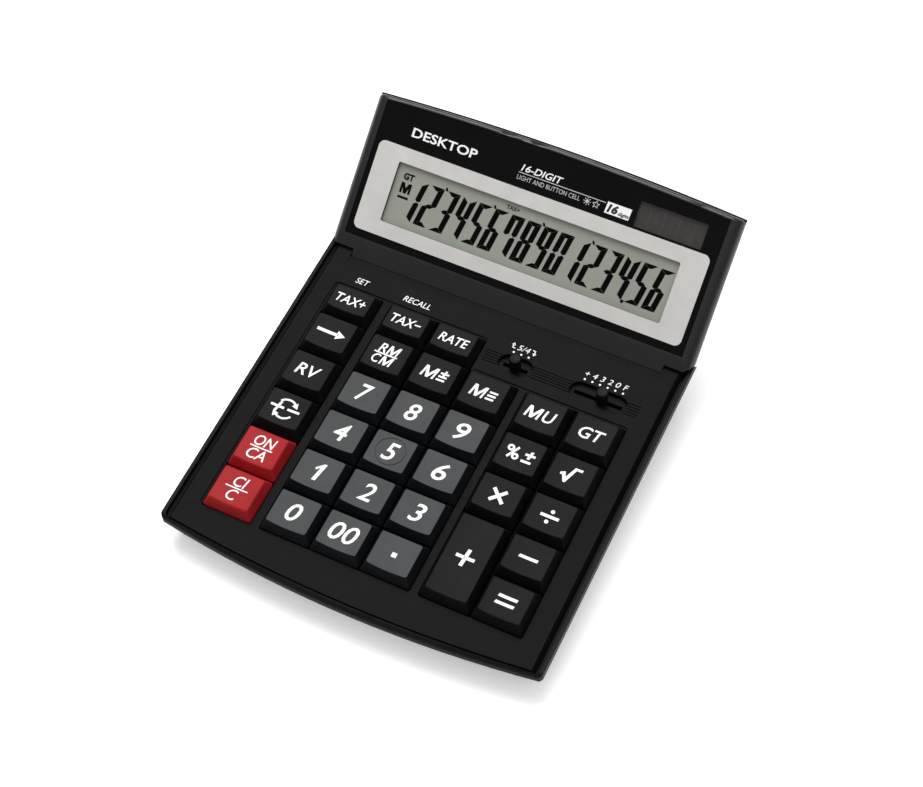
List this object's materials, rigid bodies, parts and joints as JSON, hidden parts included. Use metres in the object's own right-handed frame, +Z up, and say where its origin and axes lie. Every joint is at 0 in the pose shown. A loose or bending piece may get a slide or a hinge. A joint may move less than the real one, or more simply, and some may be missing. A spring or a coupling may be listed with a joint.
{
  "type": "desk calculator",
  "caption": "Desk calculator: low sloping keyboard case with spring-back keys, small slide switches and a hinged display head that tilts up from flat.",
  "frame": {"origin": "centre of the bounding box, on the table under the feet, with the display head in its raised position", "axes": "+X to the user's right, +Y away from the user towards the display, +Z up"},
  "size_m": [0.1518, 0.1913, 0.0687],
  "materials": {
    "case_plastic": "fine-grained black plastic",
    "cover_plastic": "fine-grained black plastic",
    "head_plastic": "fine-grained black plastic",
    "inner_plastic": "moulded light plastic",
    "number_key_plastic": "satin charcoal key plastic",
    "function_key_plastic": "satin black key plastic",
    "clear_key_plastic": "satin red key plastic",
    "knob_plastic": "satin black plastic",
    "panel_gloss": "glossy black printed panel",
    "trim_aluminium": "satin aluminium plate",
    "lcd": "reflective liquid-crystal glass",
    "solar": "dark amorphous silicon cell",
    "foot_rubber": "soft black rubber",
    "dome_rubber": "moulded silicone rubber",
    "board": "green circuit board",
    "chip": "black epoxy",
    "screw_steel": "zinc-plated steel",
    "pin_steel": "turned steel",
    "cell_steel": "nickel-plated steel",
    "contact_brass": "spring brass strip",
    "wire": "bundled flat cable"
  },
  "bodies": {
    "case": {"bottom_case": "case_plastic", "top_cover": "cover_plastic", "key_guide_plate": "inner_plastic", "rubber_dome_sheet": "dome_rubber", "key_circuit_board": "board", "calculator_chip": "chip", "slide_switch_bodies": "inner_plastic", "board_screws": "screw_steel", "case_screws": "screw_steel", "rubber_feet": "foot_rubber", "battery_door": "case_plastic", "button_cell": "cell_steel", "battery_contacts": "contact_brass", "hinge_pins": "pin_steel", "display_wires_in_case": "wire"},
    "head": {"head_front_bezel": "head_plastic", "head_rear_shell": "head_plastic", "display_panel": "panel_gloss", "display_trim": "trim_aluminium", "lcd_glass": "lcd", "zebra_connectors": "dome_rubber", "solar_cell": "solar", "head_circuit_board": "board", "head_screws": "screw_steel", "display_wires_in_head": "wire"},
    "rounding_switch": {"rounding_switch_knob": "knob_plastic"},
    "decimal_switch": {"decimal_switch_knob": "knob_plastic"},
    "key_7": {"key_7": "number_key_plastic"},
    "key_8": {"key_8": "number_key_plastic"},
    "key_9": {"key_9": "number_key_plastic"},
    "key_4": {"key_4": "number_key_plastic"},
    "key_5": {"key_5": "number_key_plastic"},
    "key_6": {"key_6": "number_key_plastic"},
    "key_1": {"key_1": "number_key_plastic"},
    "key_2": {"key_2": "number_key_plastic"},
    "key_3": {"key_3": "number_key_plastic"},
    "key_0": {"key_0": "number_key_plastic"},
    "key_00": {"key_00": "number_key_plastic"},
    "key_point": {"key_point": "number_key_plastic"},
    "key_on_clear_all": {"key_on_clear_all": "clear_key_plastic"},
    "key_clear": {"key_clear": "clear_key_plastic"},
    "key_tax_plus": {"key_tax_plus": "function_key_plastic"},
    "key_tax_minus": {"key_tax_minus": "function_key_plastic"},
    "key_rate": {"key_rate": "function_key_plastic"},
    "key_shift_right": {"key_shift_right": "function_key_plastic"},
    "key_memory_recall": {"key_memory_recall": "function_key_plastic"},
    "key_memory_plus": {"key_memory_plus": "function_key_plastic"},
    "key_memory_minus": {"key_memory_minus": "function_key_plastic"},
    "key_mark_up": {"key_mark_up": "function_key_plastic"},
    "key_grand_total": {"key_grand_total": "function_key_plastic"},
    "key_reverse": {"key_reverse": "function_key_plastic"},
    "key_percent": {"key_percent": "function_key_plastic"},
    "key_square_root": {"key_square_root": "function_key_plastic"},
    "key_sign_change": {"key_sign_change": "function_key_plastic"},
    "key_multiply": {"key_multiply": "function_key_plastic"},
    "key_divide": {"key_divide": "function_key_plastic"},
    "key_plus": {"key_plus": "function_key_plastic"},
    "key_minus": {"key_minus": "function_key_plastic"},
    "key_equals": {"key_equals": "function_key_plastic"}
  },
  "joints": [
    {"name": "head_tilt", "type": "hinge", "parent": "case", "child": "head", "pos_m": [0, 0.04499, 0.01796], "axis": [1, 0, 0], "range_deg": [-38.5, 0]},
    {"name": "rounding_slide", "type": "slide", "parent": "case", "child": "rounding_switch", "axis": [1, 0, 0], "range_m": [-0.0031, 0.0031]},
    {"name": "decimal_slide", "type": "slide", "parent": "case", "child": "decimal_switch", "axis": [1, 0, 0], "range_m": [-0.0093, 0.0062]},
    {"name": "key_7_press", "type": "slide", "parent": "case", "child": "key_7", "axis": [0, -0.0698, 0.9976], "range_m": [-0.002, 0], "stiffness_N_per_m": 200, "springref_m": 0.0008},
    {"name": "key_8_press", "type": "slide", "parent": "case", "child": "key_8", "axis": [0, -0.0698, 0.9976], "range_m": [-0.002, 0], "stiffness_N_per_m": 200, "springref_m": 0.0008},
    {"name": "key_9_press", "type": "slide", "parent": "case", "child": "key_9", "axis": [0, -0.0698, 0.9976], "range_m": [-0.002, 0], "stiffness_N_per_m": 200, "springref_m": 0.0008},
    {"name": "key_4_press", "type": "slide", "parent": "case", "child": "key_4", "axis": [0, -0.0698, 0.9976], "range_m": [-0.002, 0], "stiffness_N_per_m": 200, "springref_m": 0.0008},
    {"name": "key_5_press", "type": "slide", "parent": "case", "child": "key_5", "axis": [0, -0.0698, 0.9976], "range_m": [-0.002, 0], "stiffness_N_per_m": 200, "springref_m": 0.0008},
    {"name": "key_6_press", "type": "slide", "parent": "case", "child": "key_6", "axis": [0, -0.0698, 0.9976], "range_m": [-0.002, 0], "stiffness_N_per_m": 200, "springref_m": 0.0008},
    {"name": "key_1_press", "type": "slide", "parent": "case", "child": "key_1", "axis": [0, -0.0698, 0.9976], "range_m": [-0.002, 0], "stiffness_N_per_m": 200, "springref_m": 0.0008},
    {"name": "key_2_press", "type": "slide", "parent": "case", "child": "key_2", "axis": [0, -0.0698, 0.9976], "range_m": [-0.002, 0], "stiffness_N_per_m": 200, "springref_m": 0.0008},
    {"name": "key_3_press", "type": "slide", "parent": "case", "child": "key_3", "axis": [0, -0.0698, 0.9976], "range_m": [-0.002, 0], "stiffness_N_per_m": 200, "springref_m": 0.0008},
    {"name": "key_0_press", "type": "slide", "parent": "case", "child": "key_0", "axis": [0, -0.0698, 0.9976], "range_m": [-0.002, 0], "stiffness_N_per_m": 200, "springref_m": 0.0008},
    {"name": "key_00_press", "type": "slide", "parent": "case", "child": "key_00", "axis": [0, -0.0698, 0.9976], "range_m": [-0.002, 0], "stiffness_N_per_m": 200, "springref_m": 0.0008},
    {"name": "key_point_press", "type": "slide", "parent": "case", "child": "key_point", "axis": [0, -0.0698, 0.9976], "range_m": [-0.002, 0], "stiffness_N_per_m": 200, "springref_m": 0.0008},
    {"name": "key_on_clear_all_press", "type": "slide", "parent": "case", "child": "key_on_clear_all", "axis": [0, -0.0698, 0.9976], "range_m": [-0.002, 0], "stiffness_N_per_m": 200, "springref_m": 0.0008},
    {"name": "key_clear_press", "type": "slide", "parent": "case", "child": "key_clear", "axis": [0, -0.0698, 0.9976], "range_m": [-0.002, 0], "stiffness_N_per_m": 200, "springref_m": 0.0008},
    {"name": "key_tax_plus_press", "type": "slide", "parent": "case", "child": "key_tax_plus", "axis": [0, -0.0698, 0.9976], "range_m": [-0.002, 0], "stiffness_N_per_m": 200, "springref_m": 0.0008},
    {"name": "key_tax_minus_press", "type": "slide", "parent": "case", "child": "key_tax_minus", "axis": [0, -0.0698, 0.9976], "range_m": [-0.002, 0], "stiffness_N_per_m": 200, "springref_m": 0.0008},
    {"name": "key_rate_press", "type": "slide", "parent": "case", "child": "key_rate", "axis": [0, -0.0698, 0.9976], "range_m": [-0.002, 0], "stiffness_N_per_m": 200, "springref_m": 0.0008},
    {"name": "key_shift_right_press", "type": "slide", "parent": "case", "child": "key_shift_right", "axis": [0, -0.0698, 0.9976], "range_m": [-0.002, 0], "stiffness_N_per_m": 200, "springref_m": 0.0008},
    {"name": "key_memory_recall_press", "type": "slide", "parent": "case", "child": "key_memory_recall", "axis": [0, -0.0698, 0.9976], "range_m": [-0.002, 0], "stiffness_N_per_m": 200, "springref_m": 0.0008},
    {"name": "key_memory_plus_press", "type": "slide", "parent": "case", "child": "key_memory_plus", "axis": [0, -0.0698, 0.9976], "range_m": [-0.002, 0], "stiffness_N_per_m": 200, "springref_m": 0.0008},
    {"name": "key_memory_minus_press", "type": "slide", "parent": "case", "child": "key_memory_minus", "axis": [0, -0.0698, 0.9976], "range_m": [-0.002, 0], "stiffness_N_per_m": 200, "springref_m": 0.0008},
    {"name": "key_mark_up_press", "type": "slide", "parent": "case", "child": "key_mark_up", "axis": [0, -0.0698, 0.9976], "range_m": [-0.002, 0], "stiffness_N_per_m": 200, "springref_m": 0.0008},
    {"name": "key_grand_total_press", "type": "slide", "parent": "case", "child": "key_grand_total", "axis": [0, -0.0698, 0.9976], "range_m": [-0.002, 0], "stiffness_N_per_m": 200, "springref_m": 0.0008},
    {"name": "key_reverse_press", "type": "slide", "parent": "case", "child": "key_reverse", "axis": [0, -0.0698, 0.9976], "range_m": [-0.002, 0], "stiffness_N_per_m": 200, "springref_m": 0.0008},
    {"name": "key_percent_press", "type": "slide", "parent": "case", "child": "key_percent", "axis": [0, -0.0698, 0.9976], "range_m": [-0.002, 0], "stiffness_N_per_m": 200, "springref_m": 0.0008},
    {"name": "key_square_root_press", "type": "slide", "parent": "case", "child": "key_square_root", "axis": [0, -0.0698, 0.9976], "range_m": [-0.002, 0], "stiffness_N_per_m": 200, "springref_m": 0.0008},
    {"name": "key_sign_change_press", "type": "slide", "parent": "case", "child": "key_sign_change", "axis": [0, -0.0698, 0.9976], "range_m": [-0.002, 0], "stiffness_N_per_m": 200, "springref_m": 0.0008},
    {"name": "key_multiply_press", "type": "slide", "parent": "case", "child": "key_multiply", "axis": [0, -0.0698, 0.9976], "range_m": [-0.002, 0], "stiffness_N_per_m": 200, "springref_m": 0.0008},
    {"name": "key_divide_press", "type": "slide", "parent": "case", "child": "key_divide", "axis": [0, -0.0698, 0.9976], "range_m": [-0.002, 0], "stiffness_N_per_m": 200, "springref_m": 0.0008},
    {"name": "key_plus_press", "type": "slide", "parent": "case", "child": "key_plus", "axis": [0, -0.0698, 0.9976], "range_m": [-0.002, 0], "stiffness_N_per_m": 200, "springref_m": 0.0008},
    {"name": "key_minus_press", "type": "slide", "parent": "case", "child": "key_minus", "axis": [0, -0.0698, 0.9976], "range_m": [-0.002, 0], "stiffness_N_per_m": 200, "springref_m": 0.0008},
    {"name": "key_equals_press", "type": "slide", "parent": "case", "child": "key_equals", "axis": [0, -0.0698, 0.9976], "range_m": [-0.002, 0], "stiffness_N_per_m": 200, "springref_m": 0.0008}
  ]
}
